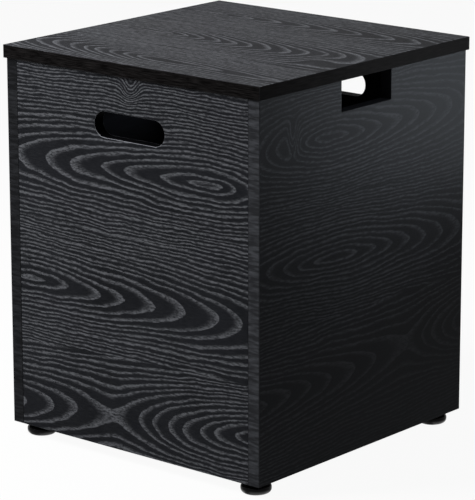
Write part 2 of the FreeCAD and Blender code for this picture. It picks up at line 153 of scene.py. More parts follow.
class StageSettings(bpy.types.PropertyGroup):
    camera_place: FloatVectorProperty(
        name="Camera place", description="Where the camera stands", size=3,
        default=(2.2703, -2.6980, 1.1534), subtype="TRANSLATION", unit="LENGTH")
    yaw: angle("Yaw", "Camera's turn to the right of the front", 40.09)
    pitch: angle("Pitch", "How far the camera looks down", 14.70)
    roll: angle("Roll", "Camera's lean", -0.05)
    lens: FloatProperty(
        name="Lens", description="Focal length on a 36 mm frame", default=213.4, unit="CAMERA")
    floor_size: FloatProperty(
        name="Floor size", description="Side of the square floor", default=24.0, unit="LENGTH")
    key: power("Key light", "Power of the key softbox", 124.0)
    fill: power("Fill light", "Power of the fill softbox", 0.40)
    rim: power("Rim light", "Power of the rim softbox", 0.30)
    back: power("Back light", "Power of the softbox behind the table", 2.5)
    ambient: FloatProperty(
        name="Ambient", description="Strength of the light from all round", default=0.12, min=0)


# Node helpers

class Wiring:
    """Adds nodes to a tree. A value given to a socket is a number, a colour or another socket."""

    def __init__(self, tree):
        self.tree = tree

    def find(self, kind):
        """The node of a kind that a new tree comes with."""
        return next(node for node in self.tree.nodes if node.type == kind)

    def add(self, kind, inputs=None, **settings):
        """A new node. Its settings come first, since its sockets may depend on them."""
        node = self.tree.nodes.new(kind)
        for name, setting in settings.items():
            setattr(node, name, setting)
        for key, amount in (inputs or {}).items():
            self.feed(node.inputs[key], amount)
        return node

    def feed(self, socket, amount):
        if isinstance(amount, bpy.types.NodeSocket):
            self.tree.links.new(amount, socket)
        else:
            socket.default_value = amount

    def math(self, operation, *values, clamp=False):
        return self.add("ShaderNodeMath", dict(enumerate(values)), operation=operation,
                        use_clamp=clamp).outputs[0]

    def times(self, first, second, clamp=False):
        return self.math("MULTIPLY", first, second, clamp=clamp)

    def times_plus(self, first, second, added):
        return self.math("MULTIPLY_ADD", first, second, added)

    def minus(self, first, second):
        return self.math("SUBTRACT", first, second)

    def over(self, first, second, clamp=False):
        return self.math("DIVIDE", first, second, clamp=clamp)

    def total(self, *values):
        result = values[0]
        for amount in values[1:]:
            result = self.math("ADD", result, amount)
        return result

    def change(self, kind, amount, low, high, to_low, to_high):
        return self.add("ShaderNodeMapRange", {
            "Value": amount, "From Min": low, "From Max": high, "To Min": to_low,
            "To Max": to_high}, interpolation_type=kind, clamp=True).outputs["Result"]

    def smooth(self, amount, low, high, to_low=0.0, to_high=1.0):
        """Smooth step from one value to another as the amount goes from low to high."""
        return self.change("SMOOTHSTEP", amount, low, high, to_low, to_high)

    def spread(self, amount, low, high, to_low=0.0, to_high=1.0):
        """Straight-line change from one value to another, held at both ends."""
        return self.change("LINEAR", amount, low, high, to_low, to_high)

    def mix(self, factor, first, second):
        """One of two colours, or a share of each."""
        return self.add("ShaderNodeMix", {0: factor, 6: first, 7: second},
                        data_type="RGBA").outputs[2]

    def blend(self, amount, low, high, first, second):
        """From one colour to another as the amount goes from low to high."""
        return self.mix(self.spread(amount, low, high), first, second)

    def mix_shaders(self, factor, first, second):
        return self.add("ShaderNodeMixShader", {0: factor, 1: first, 2: second}).outputs[0]

    def axes(self, place):
        return self.add("ShaderNodeSeparateXYZ", {"Vector": place}).outputs

    def point(self, x, y, z=0.0):
        return self.add("ShaderNodeCombineXYZ", {"X": x, "Y": y, "Z": z}).outputs[0]

    def noise(self, place, scale=1.0, detail=2.0, roughness=0.5):
        return self.add("ShaderNodeTexNoise", {
            "Vector": place, "Scale": scale, "Detail": detail,
            "Roughness": roughness}).outputs[0]

    def group(self, name, inputs):
        """The outputs of a shared group, which is given its inputs."""
        return self.add("ShaderNodeGroup", inputs, node_tree=bpy.data.node_groups[name]).outputs


def new_group(name, inputs, outputs):
    """An empty node group: its wiring, the sockets given to it and those that it puts out.

    A number makes a value's socket, and None or three numbers make a place's.
    """
    tree = bpy.data.node_groups.new(name, "ShaderNodeTree")
    for label, default in inputs.items():
        kind = "NodeSocketFloat" if isinstance(default, float) else "NodeSocketVector"
        socket = tree.interface.new_socket(label, in_out="INPUT", socket_type=kind)
        if default is not None:
            socket.default_value = default
    for label in outputs:
        tree.interface.new_socket(label, in_out="OUTPUT", socket_type="NodeSocketFloat")
    w = Wiring(tree)
    given = w.add("NodeGroupInput").outputs
    return w, {label: given[label] for label in inputs}, w.add("NodeGroupOutput").inputs


ROWS = ("Upper", "Middle", "Lower")
# The sockets that all rows share, those that each row has of its own, and the knot's.
SHARED_PARTS = {"Along": 0.0, "Across": 0.0, "Far Depth": 0.057, "Bend": 0.02}
ROW_PARTS = {"Line": 0.0, "Tilt": 0.0, "Reach": 0.08, "Eye": 0.0, "Depth": 0.0,
             "Left Slope": 0.12, "Right Slope": 0.12, "Phase": 0.0}
KNOT_PARTS = {"Knot Along": 0.0, "Knot Across": 0.0, "Knot Width": 0.01,
              "Knot Height": 0.015, "Knot Rings": 3.0}
# All the sockets that describe a board's figure.
FIGURE_PARTS = {**SHARED_PARTS, "Spacing": 0.0066, "Crowding": 0.156, "Pinch": 0.004,
                **KNOT_PARTS, **{f"{row} {part}": number for row in ROWS
                                 for part, number in ROW_PARTS.items()}}


def build_figure_row():
    """One row of nested loops along a line of the board, as a flat-sawn board shows.

    The rings lie at a depth under the row's line that grows from the eye at a slope to
    each side. Deepening says by how much the row shapes a point, Shift how far its phase
    moves the rings there.
    """
    w, given, out = new_group("Figure row", {**SHARED_PARTS, **ROW_PARTS},
                              ["Distance", "Shift", "Deepening"])
    along, across, far_depth, bend, line, tilt, reach, eye, depth, left, right, phase = \
        given.values()
    from_eye = w.minus(along, eye)
    distance = w.math("ABSOLUTE", w.minus(across, w.times_plus(tilt, from_eye, line)))
    near = w.over(distance, reach, clamp=True)
    share = w.minus(1.0, w.times(near, near))
    rounded = w.minus(w.math("SQRT", w.times_plus(from_eye, from_eye, w.times(bend, bend))), bend)
    even = w.times(w.math("ADD", left, right), 0.5)
    odd = w.times(w.minus(right, left), 0.5)
    here = w.total(depth, w.times(even, rounded), w.times(odd, from_eye))
    w.feed(out["Distance"], distance)
    w.feed(out["Shift"], w.times(share, phase))
    w.feed(out["Deepening"], w.times(share, w.minus(here, far_depth)))


def build_ring_count():
    """How many growth rings lie under a point of a board with three rows of figure."""
    w, given, out = new_group("Ring count", FIGURE_PARTS, ["Rings"])
    shared = {part: given[part] for part in SHARED_PARTS}
    rows = [w.group("Figure row", {**shared, **{part: given[f"{row} {part}"]
                                                for part in ROW_PARTS}}) for row in ROWS]
    distances = [row["Distance"] for row in rows]
    nearest = w.math("MINIMUM", w.math("MINIMUM", *distances[:2]), distances[2])
    # The rings crowd together half-way between two rows, at the crowding's reach.
    reach = 80 * MM
    share = w.over(nearest, reach)
    crowded = w.times_plus(given["Crowding"], w.times(share, share), 1.0)
    away = w.times(nearest, crowded)
    depth = w.total(given["Far Depth"], *[row["Deepening"] for row in rows])
    # The pinch makes the loops' tips pointed.
    pinched = w.times_plus(away, away, w.times(away, given["Pinch"]))
    radius = w.math("SQRT", w.times_plus(depth, depth, pinched))
    # A small knot adds a few rings of its own, which fade out round it.
    from_knot = [w.over(w.minus(given[way], given[f"Knot {way}"]), given[f"Knot {size}"])
                 for way, size in (("Along", "Width"), ("Across", "Height"))]
    off_knot = w.total(*[w.math("POWER", share, 2.0) for share in from_knot])
    knot = w.times(given["Knot Rings"], w.math("EXPONENT", w.times(off_knot, -1.0)))
    w.feed(out["Rings"], w.total(w.over(radius, given["Spacing"]), knot,
                                 *[row["Shift"] for row in rows]))


def build_growth_rings():
    """A board's growth rings, gently swaying, and how many there are to a metre."""
    w, given, out = new_group("Growth rings", {"Seed": 0.0, **FIGURE_PARTS},
                              ["Rings", "Steepness"])
    seed, along, across, *_ = given.values()

    def waver(per_along, per_across, detail, width):
        place = w.point(w.times(along, per_along), w.times(across, per_across), seed)
        return w.times(w.minus(w.noise(place, detail=detail), 0.5), width)

    sway = waver(9.0, 16.0, 1.0, 0.011)
    across = w.total(across, sway, waver(38.0, 100.0, 3.0, 0.0056))
    along = w.times_plus(sway, 2.5, along)
    figure = {part: given[part] for part in FIGURE_PARTS}
    # The steepness comes from the counts a short step away, along and across.
    step = 0.4 * MM
    here, further, higher = [
        w.group("Ring count", {**figure, "Along": u, "Across": v})[0]
        for u, v in ((along, across), (w.math("ADD", along, step), across),
                     (along, w.math("ADD", across, step)))]
    slope_along = w.over(w.minus(further, here), step)
    slope_across = w.over(w.minus(higher, here), step)
    steep = w.math("SQRT", w.times_plus(slope_along, slope_along,
                                        w.times(slope_across, slope_across)))
    # Wet and dry years: the rings aren't quite evenly spaced.
    years = w.noise(w.point(w.times(here, 0.8), seed), detail=0.0)
    w.feed(out["Rings"], w.times_plus(w.minus(years, 0.5), 0.55, here))
    w.feed(out["Steepness"], w.math("MAXIMUM", steep, 12.0))


def build_grain_lines():
    """Pale ring lines of a real width in metres, with fibres and pores along the grain."""
    w, given, out = new_group("Grain lines", {
        "Rings": 0.0, "Steepness": 100.0, "Along": 0.0, "Across": 0.0, "Seed": 0.0},
        ["Lines", "Pores", "Fibres"])
    rings, steepness, along, across, seed = given.values()
    line_width, patch_width = 0.96 * MM, 0.42

    def grain_noise(per_along, per_across, detail, roughness=0.5):
        place = w.point(w.times(along, per_along), w.times(across, per_across), seed)
        return w.noise(place, detail=detail, roughness=roughness)

    part = w.math("FRACT", rings)
    to_next = w.minus(1.0, part)
    off_line = w.over(w.math("MINIMUM", part, to_next), steepness)
    year = w.add("ShaderNodeTexWhiteNoise", {"Vector": w.point(w.math("ROUND", rings), seed)},
                 noise_dimensions="2D")
    strength = w.spread(year.outputs["Value"], 0.0, 1.0, 0.72, 1.0)
    # A line keeps its width, but where the rings crowd it leaves a dark gap to the next.
    ragged = w.spread(grain_noise(190.0, 1000.0, 3.0, 0.7), 0.3, 0.7, 0.45, 1.7)
    width = w.times(w.math("MINIMUM", line_width, w.over(0.20, steepness)), ragged)
    line = w.smooth(off_line, w.times(width, 0.3), w.times(width, 1.5), 1.0, 0.0)
    # On its inner side each loop's tip fades out in a patch of short dashes.
    dashes = w.smooth(grain_noise(300.0, 700.0, 2.0, 0.7), 0.34, 0.50)
    patch = w.times(w.smooth(to_next, 0.0, patch_width, 1.0, 0.0), dashes)
    fibres = grain_noise(80.0, 1600.0, 3.0, 0.6)
    pores = w.smooth(grain_noise(160.0, 2600.0, 1.0), 0.60, 0.68)
    broken = w.spread(grain_noise(130.0, 480.0, 2.0, 0.6), 0.39, 0.56, 0.36, 1.18)
    streaks = w.spread(fibres, 0.32, 0.68, 0.65, 1.15)
    solid = w.times(w.times(line, strength), streaks)
    shown = w.times(broken, w.math("MAXIMUM", solid, w.times(patch, 0.95)))
    w.feed(out["Lines"], w.times(shown, w.times_plus(pores, -0.45, 1.0)))
    w.feed(out["Pores"], pores)
    w.feed(out["Fibres"], fibres)


def build_edge_wear():
    """Where the rounded edges, marked worn_edge on each piece, are rubbed pale in patches; on the
    slots' rims and the corner plates' edges the pale is a painted highlight as well as wear.
    """
    w, given, out = new_group("Edge wear", {"Place": None, "Amount": 0.5, "Patch Size": 0.02},
                              ["Worn"])
    place, amount, patch_size = given.values()
    edge = w.add("ShaderNodeAttribute", attribute_name="worn_edge").outputs["Fac"]
    patches = w.noise(place, scale=w.over(1.0, patch_size), detail=3.0, roughness=0.6)
    rubbed = w.smooth(patches, 0.38, 0.66, 0.25, 1.0)
    w.feed(out["Worn"], w.times(w.times(edge, rubbed), amount, clamp=True))


def build_dust():
    """Fine dust that lies thinly and unevenly on what faces up."""
    w, given, out = new_group("Dust", {"Place": None, "Amount": 0.05}, ["Cover"])
    place, amount = given.values()
    normal = w.add("ShaderNodeNewGeometry").outputs["Normal"]
    up = w.smooth(w.axes(normal)["Z"], 0.6, 0.95)
    drifts = w.smooth(w.noise(place, scale=9.0, detail=4.0), 0.35, 0.75, 0.35, 1.0)
    specks = w.smooth(w.noise(place, scale=900.0, detail=1.0), 0.62, 0.72)
    cover = w.times_plus(specks, 0.5, drifts)
    w.feed(out["Cover"], w.times(w.times(cover, up), amount, clamp=True))


def build_streaks():
    """Fine streaks along one axis, for bands, battens and brushed metal."""
    w, given, out = new_group("Streaks", {"Place": None, "Stretch": (60.0, 900.0, 900.0)},
                              ["Streak"])
    stretched = w.add("ShaderNodeVectorMath", dict(enumerate(given.values())),
                      operation="MULTIPLY").outputs[0]
    w.feed(out["Streak"], w.noise(stretched, detail=4.0, roughness=0.6))


def build_pebble():
    """The fine orange peel of powder coat and moulded plastic."""
    w, given, out = new_group("Pebble", {"Place": None, "Grain Size": 0.0009}, ["Height"])
    place, grain_size = given.values()
    scale = w.over(1.0, grain_size)
    coarse = w.noise(place, scale=scale, detail=1.0)
    fine = w.noise(place, scale=w.times(scale, 3.1), detail=1.0)
    w.feed(out["Height"], w.times_plus(fine, 0.35, coarse))


# Materials

class Surface(Wiring):
    """A new material's wiring, with its shader and the place on the piece."""

    def __init__(self, name):
        self.material = bpy.data.materials.new(name)
        self.material.use_nodes = True
        super().__init__(self.material.node_tree)
        self.shader = self.find("BSDF_PRINCIPLED")
        self.place = self.add("ShaderNodeTexCoord").outputs["Object"]

    def tint(self, name, share=1.0):
        """One of the table's colours, made darker or paler."""
        colour = getattr(bpy.context.scene.tank_table_colours, name)
        return (*[part * share for part in colour], 1.0)

    def detail(self, name, inputs):
        """What a shared group of detail puts out at the place on the piece."""
        return self.group(name, {"Place": self.place, **inputs})[0]

    def streaks(self, *stretch):
        return self.detail("Streaks", {"Stretch": stretch})

    def rubbed(self, face, amount, patch_size, bare):
        """A face's colour, and the bare one where its edges are rubbed; in the slot and corner
        plate materials the bare colour is also a painted highlight.
        """
        worn = self.detail("Edge wear", {"Amount": amount, "Patch Size": patch_size})
        return self.mix(worn, face, bare)

    def dusted(self, face, amount):
        """A face's colour under its dust."""
        return self.mix(self.detail("Dust", {"Amount": amount}), face, self.tint("dust"))

    def give(self, inputs):
        """Feeds the shader."""
        for name, amount in inputs.items():
            self.feed(self.shader.inputs[name], amount)

    def finish(self, colour, roughness, shine, relief, depth, strength):
        """Gives the shader its colour, roughness and shine, and a bump of a depth in metres."""
        bump = self.add("ShaderNodeBump", {
            "Height": relief, "Distance": depth, "Strength": strength}).outputs["Normal"]
        self.give({"Base Color": colour, "Roughness": roughness, "Specular IOR Level": shine,
                   "Normal": bump})


# Each board's figure: its seed, then for each of three rows its line across the grain,
# tilt, reach, eye along the grain, depth at the eye (lengths in millimetres), the slopes
# to its left and right, and the shift of its rings. Negative slopes make a saddle. Last
# its small knot: place along and across the grain, half width and height, and rings.
FIGURES = {
    "front_board": (3.1, [(365, 0.017, 82, 129, 4.7, 0.150, 0.322, -0.05),
                          (205, 0.001, 80, -165, 6.0, 0.149, 0.149, -0.08),
                          (58, 0.073, 72, -22, 57.5, -0.152, -0.281, 0.19)],
                    (3, 462, 13, 17, 3.6)),
    "back_board": (7.7, [(352, -0.012, 78, -90, 1.0, 0.210, 0.140, 0.3),
                         (196, 0.008, 78, 140, 2.0, 0.150, 0.190, 0.0),
                         (48, -0.06, 72, 30, 52.0, -0.240, -0.160, 0.1)],
                   (-60, 270, 10, 15, 3.0)),
    "right_board": (12.3, [(411, -0.003, 72, -75, 2.0, 0.380, 0.200, 0.1),
                           (264, -0.036, 72, -59, 2.0, 0.215, 0.190, 0.0),
                           (127, 0.05, 74, 83, 57.0, -0.160, -0.300, 0.1)],
                    (-137, 421, 9, 19, 3.4)),
    "left_board": (17.9, [(395, 0.010, 72, 110, 4.0, 0.120, 0.210, 0.0),
                          (250, -0.004, 72, 20, 0.0, 0.140, 0.110, 0.4),
                          (105, 0.03, 72, -120, 40.0, -0.120, -0.150, 0.2)],
                   (95, 330, 8, 13, 2.6)),
    "lid_top": (23.6, [(126, -0.01, 70, -140, 4.0, 0.090, 0.155, 0.2),
                       (-15, -0.02, 69, -120, 2.0, 0.100, 0.250, 0.0),
                       (-150, -0.05, 69, -10, 8.0, 0.300, 0.070, 0.0)],
                (152, -40, 30, 24, 1.8)),
}


# How the names of the parts end that aren't lengths.
PLAIN_NUMBERS = ("Tilt", "Slope", "Phase", "Rings")


def build_board_material(name, along, across, ground_painted_shading, grain_painted_shading, sheen):
    """Black grain foil: pale loops on a dark ground, fine pores, satin and embossed; shares below
    one paint it darker as painted shade, above one paler as painted light.
    """
    w = Surface(name)
    seed, rows, knot = FIGURES[name]
    axes = w.axes(w.place)
    at = {"Along": axes[along], "Across": axes[across], "Seed": seed}
    figure = dict(zip(KNOT_PARTS, knot))
    for label, row in zip(ROWS, rows):
        figure.update((f"{label} {part}", amount) for part, amount in zip(ROW_PARTS, row))
    for part in figure:
        if not part.endswith(PLAIN_NUMBERS):
            figure[part] *= MM
    grown = w.group("Growth rings", {**at, **figure})
    grain = w.group("Grain lines", {**at, "Rings": grown["Rings"],
                                    "Steepness": grown["Steepness"]})
    blotches = w.noise(w.place, scale=11.0, detail=3.0)
    dark = w.blend(blotches, 0.3, 0.7, w.tint("board", ground_painted_shading * 0.75),
                   w.tint("board", ground_painted_shading * 1.35))
    pale = w.tint("grain", grain_painted_shading)
    dark = w.mix(w.spread(grain["Fibres"], 0.45, 0.8, 0.0, 0.14), dark, pale)
    face = w.rubbed(w.mix(grain["Lines"], dark, pale), 0.12, 0.03,
                    w.tint("grain", grain_painted_shading * 1.5))
    rough = w.spread(grain["Lines"], 0.0, 1.0, 0.46, 0.56)
    relief = w.times_plus(grain["Pores"], -0.6, w.times(grain["Lines"], -0.5))
    w.finish(w.dusted(face, 0.012), w.times_plus(grain["Fibres"], 0.08, rough), sheen,
             w.times_plus(grain["Fibres"], 0.4, relief), 0.12 * MM, 0.5)
    w.give({"Specular Tint": (0.72, 0.86, 1.0, 1.0)})


def build_cut_edge_material(name, painted_shading, rubbed):
    """The boards' routed and sawn faces: pressed fibres sealed with matt black paint; its painted
    shading makes the paint darker as painted shade or paler as painted light, and a strong rubbed
    colour on the rims is a painted highlight.
    """
    w = Surface(name)
    fibres = w.noise(w.place, scale=1400.0, detail=3.0, roughness=0.7)
    runs = w.noise(w.place, scale=60.0, detail=2.0)
    face = w.blend(fibres, 0.35, 0.75, w.tint("board", painted_shading * 0.6),
                   w.tint("board", painted_shading * 1.6))
    w.finish(w.rubbed(face, 1.0, 0.12, w.tint("grain", rubbed)),
             w.spread(runs, 0.3, 0.7, 0.62, 0.80), 0.02, fibres, 0.15 * MM, 0.6)


def build_backing_material():
    """The plain black backing foil on the boards' inner faces, with faint roller lines."""
    w = Surface("board_backing")
    specks = w.noise(w.place, scale=700.0, detail=2.0)
    face = w.blend(w.streaks(30.0, 30.0, 500.0), 0.35, 0.75, w.tint("board", 0.9),
                   w.tint("board", 1.6))
    w.finish(w.dusted(face, 0.02), w.spread(specks, 0.3, 0.7, 0.50, 0.68), 0.04, specks,
             0.04 * MM, 0.5)


def build_band_material(name, stretch, ground, painted_shading, contrast, sheen):
    """A glued edge band with short faint streaks, painted darker as painted shade or paler as
    painted light by its painted shading.
    """
    w = Surface(name)
    streak = w.streaks(*stretch)
    face = w.blend(streak, 0.42, 0.74, w.tint(ground, painted_shading), w.tint(ground, painted_shading * contrast))
    w.finish(w.rubbed(face, 0.3, 0.035, w.tint("grain", 0.8)),
             w.spread(streak, 0.3, 0.7, 0.42, 0.55), sheen, streak, 0.06 * MM, 0.5)


def build_batten_material():
    """Sawn wood under a black stain, rubbed through at its edges."""
    w = Surface("batten_stain")
    streak = w.streaks(22.0, 700.0, 700.0)
    face = w.blend(streak, 0.35, 0.75, w.tint("batten"), w.tint("batten", 2.6))
    w.finish(w.rubbed(face, 0.5, 0.015, w.tint("bare_batten")),
             w.spread(streak, 0.3, 0.7, 0.55, 0.75), 0.5, streak, 0.15 * MM, 0.7)


def build_powder_material():
    """Black powder coat with its orange peel, rubbed to steel at the edges, so pale and strong
    that the edges also carry a painted highlight.
    """
    w = Surface("powder_coat")
    pebble = w.detail("Pebble", {"Grain Size": 0.0008})
    face = w.blend(pebble, 0.4, 0.9, w.tint("powder"), w.tint("powder", 1.6))
    w.finish(w.rubbed(face, 0.95, 0.02, w.tint("bare_steel_and_highlight")),
             w.spread(pebble, 0.4, 0.9, 0.38, 0.5), 0.35, pebble, 0.05 * MM, 0.6)


def build_plastic_material():
    """Black moulded plastic, scuffed, with a lower rim that the floor has polished."""
    w = Surface("moulded_plastic")
    pebble = w.detail("Pebble", {"Grain Size": 0.0016})
    scuffed = w.smooth(w.streaks(120.0, 260.0, 1400.0), 0.58, 0.74)
    face = w.mix(w.times(scuffed, 0.35), w.tint("plastic"), w.tint("scuff"))
    w.finish(w.dusted(face, 0.03), w.times_plus(scuffed, 0.22, 0.14), 0.05, pebble,
             0.03 * MM, 0.35)
    patches = w.smooth(w.noise(w.place, scale=75.0, detail=1.0), 0.40, 0.60, 0.15, 1.0)
    polished = w.times(w.smooth(w.axes(w.place)["Z"], 3.0 * MM, 6.5 * MM, 1.0, 0.0), patches)
    w.give({"Coat Weight": polished, "Coat Roughness": 0.12})


def build_zinc_material():
    """Zinc plate with fine crystals and faint turning streaks."""
    w = Surface("zinc_plate")
    streak = w.streaks(300.0, 300.0, 2200.0)
    crystals = w.noise(w.place, scale=420.0, detail=2.0)
    w.finish(w.blend(crystals, 0.35, 0.7, w.tint("zinc", 0.8), w.tint("zinc")),
             w.spread(streak, 0.3, 0.7, 0.28, 0.48), 0.5, streak, 0.02 * MM, 0.5)
    w.give({"Metallic": 1.0})


def build_beech_material():
    """Plain beech with its grain along the dowel."""
    w = Surface("beech")
    streak = w.streaks(90.0, 1100.0, 1100.0)
    w.finish(w.blend(streak, 0.35, 0.7, w.tint("beech"), w.tint("beech", 0.72)),
             w.spread(streak, 0.3, 0.7, 0.5, 0.7), 0.5, streak, 0.08 * MM, 0.6)


# Mesh helpers

def box_mesh(low, high):
    """A block between two corners, from the cube operator."""
    low, high = Vector(low), Vector(high)
    block = bmesh.new()
    bmesh.ops.create_cube(block, size=1.0)
    bmesh.ops.scale(block, vec=high - low, verts=block.verts)
    bmesh.ops.translate(block, vec=(low + high) / 2, verts=block.verts)
    return block


def turn_to(direction):
    """The turn that takes upright to a direction."""
    return Vector((0, 0, 1)).rotation_difference(Vector(direction)).to_matrix().to_4x4()


def rod_mesh(radius, start, end, segments=48):
    """A round rod from one point to another."""
    start, end = Vector(start), Vector(end)
    rod = bmesh.new()
    bmesh.ops.create_cone(rod, cap_ends=True, segments=segments, radius1=radius, radius2=radius,
                          depth=(end - start).length,
                          matrix=Matrix.Translation((start + end) / 2) @ turn_to(end - start))
    return rod


def turned_mesh(profile, axis_x, axis_y, segments, turns=1, rise=0.0):
    """A profile of (radius, height) points spun about an upright axis.

    With a rise in each turn it becomes a helix, which is closed at its ends.
    """
    shape = bmesh.new()
    points = [shape.verts.new((radius, 0, height)) for radius, height in profile]
    edges = [shape.edges.new(pair) for pair in zip(points, points[1:])]
    bmesh.ops.spin(shape, geom=points + edges, cent=(0, 0, 0), axis=(0, 0, 1),
                   dvec=(0, 0, rise / segments), angle=2 * math.pi * turns,
                   steps=segments * turns, use_merge=not rise)
    bmesh.ops.remove_doubles(shape, verts=shape.verts, dist=MERGED)
    if rise:
        bmesh.ops.holes_fill(shape, edges=shape.edges, sides=0)
    bmesh.ops.recalc_face_normals(shape, faces=shape.faces)
    bmesh.ops.translate(shape, vec=(axis_x, axis_y, 0), verts=shape.verts)
    return shape


def mesh_data(name, shape):
    """A bmesh turned into mesh data."""
    data = bpy.data.meshes.new(name)
    shape.to_mesh(data)
    shape.free()
    return data


def add_object(name, data):
    """A new object in the scene."""
    added = bpy.data.objects.new(name, data)
    bpy.context.scene.collection.objects.link(added)
    return added


def join_meshes(*shapes):
    """One bmesh that holds several separate shapes."""
    whole = bmesh.new()
    for shape in shapes:
        part = mesh_data("part", shape)
        whole.from_mesh(part)
        bpy.data.meshes.remove(part)
    return whole


def carve(solid, cutter):
    """The solid with the cutter taken out, by the Boolean modifier."""
    holders = [add_object("carving", mesh_data("carving", shape)) for shape in (solid, cutter)]
    cut = holders[0].modifiers.new("cut", "BOOLEAN")
    cut.operation = "DIFFERENCE"
    cut.solver = "EXACT"
    cut.object = holders[1]
    result = bmesh.new()
    result.from_object(holders[0], bpy.context.evaluated_depsgraph_get())
    for data in [holder.data for holder in holders]:
        # This takes the object that holds the mesh away too.
        bpy.data.meshes.remove(data)
    if not result.faces:
        raise RuntimeError("a cut left nothing")
    bmesh.ops.remove_doubles(result, verts=result.verts, dist=MERGED)
    return result


def bevel(shape, edges, width, segments, clamp=False):
    """Rounds some edges, and says which faces are new."""
    return bmesh.ops.bevel(shape, geom=edges, offset=width, offset_type="OFFSET",
                           affect="EDGES", segments=segments, profile=0.5, material=-1,
                           clamp_overlap=clamp)["faces"]


def round_edges(shape, width, segments, wear=1.0, wanted=lambda edge: True):
    """Rounds the sharp edges that are wanted, and marks how worn the new faces are."""
    worn = shape.faces.layers.float.get("worn_edge") or shape.faces.layers.float.new("worn_edge")
    shape.normal_update()
    sharp = [edge for edge in shape.edges
             if edge.is_manifold and edge.calc_face_angle() > math.radians(35) and wanted(edge)]
    if not sharp:
        raise RuntimeError("no edges to round")
    for face in bevel(shape, sharp, width, segments, clamp=True):
        face[worn] = wear
        face.smooth = True


def join_flat_faces(shape):
    """Joins faces that lie in one plane, and edges that lie in one line."""
    bmesh.ops.dissolve_limit(shape, angle_limit=math.radians(0.5), verts=shape.verts,
                             edges=shape.edges)


def finish_board(shape, axis, outer_sign):
    """Gives a board's cut faces and inner face their own material slots."""
    shape.normal_update()
    for face in shape.faces:
        across = face.normal[axis]
        if abs(across) < 0.7:
            face.material_index = 1
        elif across * outer_sign < 0:
            face.material_index = 2


def new_piece(name, shape, material, body, nodes=(), more_materials=()):
    """Turns a bmesh into a finished piece that rides on a body and stands for CAD nodes."""
    if not shape.faces.layers.float.get("worn_edge"):
        shape.faces.layers.float.new("worn_edge")
    piece = add_object(name, mesh_data(name, shape))
    for wanted in (material, *more_materials):
        piece.data.materials.append(bpy.data.materials[wanted])
    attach(piece, body)
    if nodes:
        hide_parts(*nodes)


def smooth_curves(shape, limit=35):
    """Smooth shading on a turned shape, kept crisp where faces meet at more than the limit."""
    shape.normal_update()
    for face in shape.faces:
        face.smooth = True
    for edge in shape.edges:
        if edge.is_manifold and edge.calc_face_angle() > math.radians(limit):
            edge.smooth = False


def paint_node(node, material):
    """A CAD node keeps its shape and takes a detailed material."""
    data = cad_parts[node].data
    data.materials.clear()
    data.materials.append(bpy.data.materials[material])


# The pieces

def extent(points, axis):
    """The lowest and highest of some points along an axis."""
    places = [point[axis] for point in points]
    return min(places), max(places)


def handle_panel_shape(side, sizes):
    """A front or back board with its carrying slot and its two cam recesses."""
    low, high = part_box(f"{side}_panel")
    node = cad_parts[f"{side}_panel"].data
    toward = -1 if side == "front" else 1
    inner = high.y if side == "front" else low.y
    # The slot's size and place come from the CAD node: its verts between the faces' rims.
    middle_x = (low.x + high.x) / 2
    upper = [v.co for v in node.vertices
             if abs(v.co.x - middle_x) < 60 * MM
             and low.z + 300 * MM < v.co.z < high.z - 1 * MM]
    slot_left, slot_right = extent(upper, 0)
    slot_low, slot_high = extent(upper, 2)
    radius = (slot_high - slot_low) / 2
    slot_z = (slot_high + slot_low) / 2
    ends = (slot_left + radius, slot_right - radius)
    shape = box_mesh(low, high)
    for x in ends:
        shape = carve(shape, rod_mesh(radius, (x, low.y - SPILL, slot_z),
                                      (x, high.y + SPILL, slot_z), 64))
    shape = carve(shape, box_mesh((ends[0], low.y - SPILL, slot_low),
                                  (ends[1], high.y + SPILL, slot_high)))
    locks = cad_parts["cam_locks"].data
    near = [v.co for v in locks.vertices if (v.co.y > 0) == (side == "back")]
    for way in (-1, 1):
        own = [c for c in near if (c.x > 0) == (way > 0)]
        x, z = sum(extent(own, 0)) / 2, sum(extent(own, 2)) / 2
        shape = carve(shape, rod_mesh(sizes.cam_diameter / 2,
                                      (x, inner + toward * sizes.cam_recess, z),
                                      (x, inner - toward * SPILL, z), 64))
    join_flat_faces(shape)

    def on_slot(edge):
        return all(slot_left - 1 * MM < v.co.x < slot_right + 1 * MM
                   and slot_low - 1 * MM < v.co.z < slot_high + 1 * MM for v in edge.verts)

    def on_left_joint(edge):
        outer = low.y + high.y - inner
        return all(v.co.x < low.x + SAME_PLACE and abs(v.co.y - outer) < SAME_PLACE
                   for v in edge.verts)

    # The slots' rims are marked fully worn, so that the slot paint shows its pale colour there: a
    # painted highlight on the rims.
    round_edges(shape, sizes.slot_rounding, 4, 1.0, on_slot)
    round_edges(shape, sizes.joint_shadow, 2, 0.0, on_left_joint)
    round_edges(shape, sizes.arris, 2, 0.0, lambda edge: not on_slot(edge))
    return shape


def side_panel_shape(side, sizes):
    """A side board; the right one has the hose notch in its top edge."""
    low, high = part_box(f"{side}_panel")
    shape = box_mesh(low, high)
    if side == "right":
        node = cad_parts["right_panel"].data
        floor_verts = [v.co for v in node.vertices
                       if 20 * MM < high.z - v.co.z < 60 * MM and abs(v.co.y) < 100 * MM]
        notch_low = min(c.z for c in floor_verts)
        notch_half = max(abs(c.y) for c in floor_verts)
        cutter = box_mesh((low.x - SPILL, -notch_half, notch_low),
                          (high.x + SPILL, notch_half, high.z + SPILL))
        lower = [edge for edge in cutter.edges
                 if all(abs(v.co.z - notch_low) < SAME_PLACE for v in edge.verts)
                 and abs(edge.verts[0].co.y - edge.verts[1].co.y) < SAME_PLACE]
        bevel(cutter, lower, sizes.notch_corner, 4)
        shape = carve(shape, cutter)
        join_flat_faces(shape)
    round_edges(shape, sizes.arris, 2)
    return shape


def new_band(name, node, material, body, sizes, segments):
    """A glued edge band with rounded edges."""
    band = box_mesh(*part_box(node))
    round_edges(band, sizes.band_arris, segments)
    new_piece(name, band, material, body, [node])


